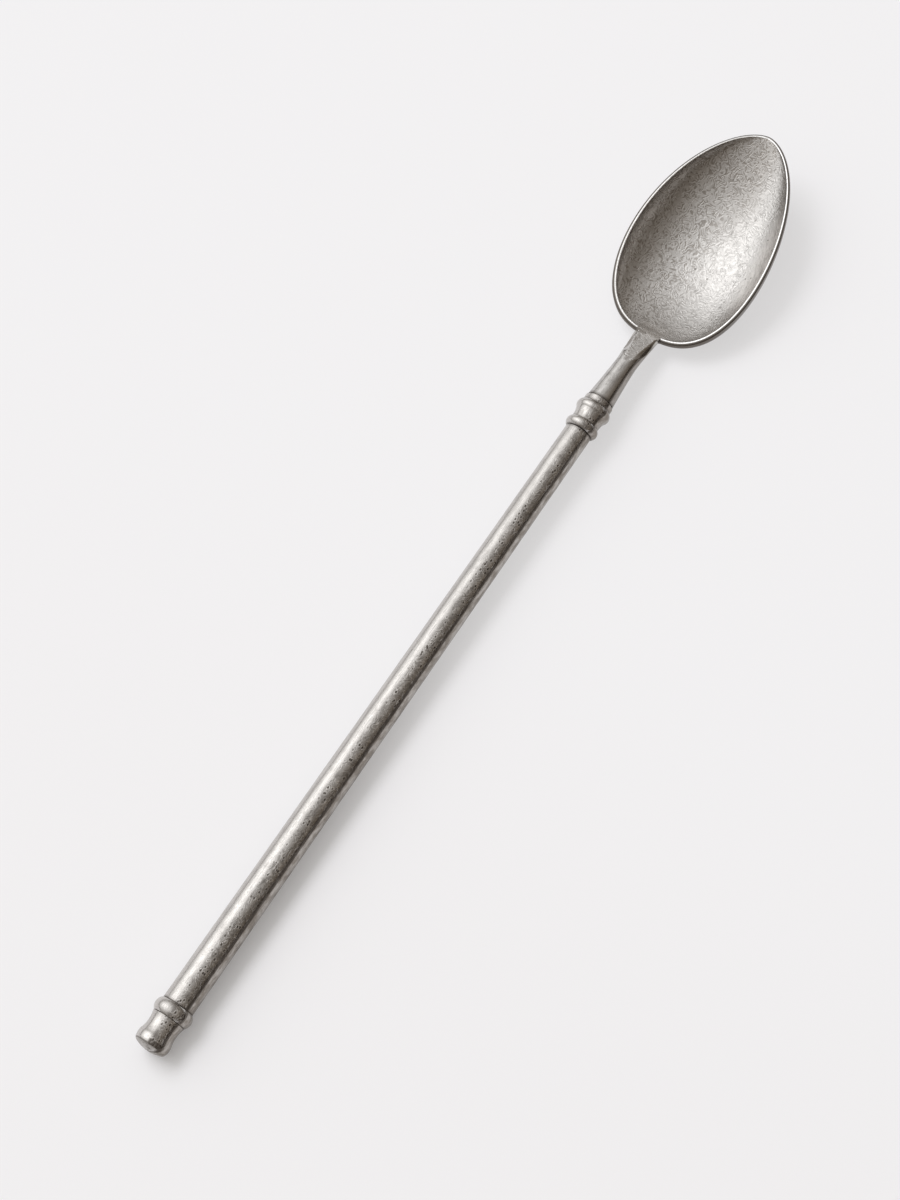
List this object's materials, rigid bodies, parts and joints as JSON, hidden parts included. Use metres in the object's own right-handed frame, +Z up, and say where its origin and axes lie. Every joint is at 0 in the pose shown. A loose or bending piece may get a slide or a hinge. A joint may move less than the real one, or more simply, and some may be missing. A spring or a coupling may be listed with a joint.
{
  "type": "iced tea spoon",
  "caption": "Long-handled iced tea spoon with an egg-shaped bowl, a beaded collar and a ringed tail cap, in antiqued metal.",
  "frame": {"origin": "under the middle of the spoon's length, on the surface that it lies on", "axes": "+X runs from the tail towards the bowl, +Z is up with the hollow of the bowl facing up"},
  "size_m": [0.2, 0.0274, 0.0125],
  "materials": {
    "bowl_metal": "worn satin with fine scratches",
    "collar_metal": "antiqued satin, dark in the grooves",
    "handle_metal": "antiqued satin with small pits",
    "ring_metal": "antiqued satin, dark in the grooves",
    "cap_metal": "antiqued satin with a worn end face",
    "cement": "matte resin cement"
  },
  "bodies": {
    "root": {"bowl_and_stem": "bowl_metal", "front_collar": "collar_metal", "handle_tube": "handle_metal", "tail_ring": "ring_metal", "end_cap": "cap_metal", "tang_cement": "cement"}
  },
  "joints": []
}
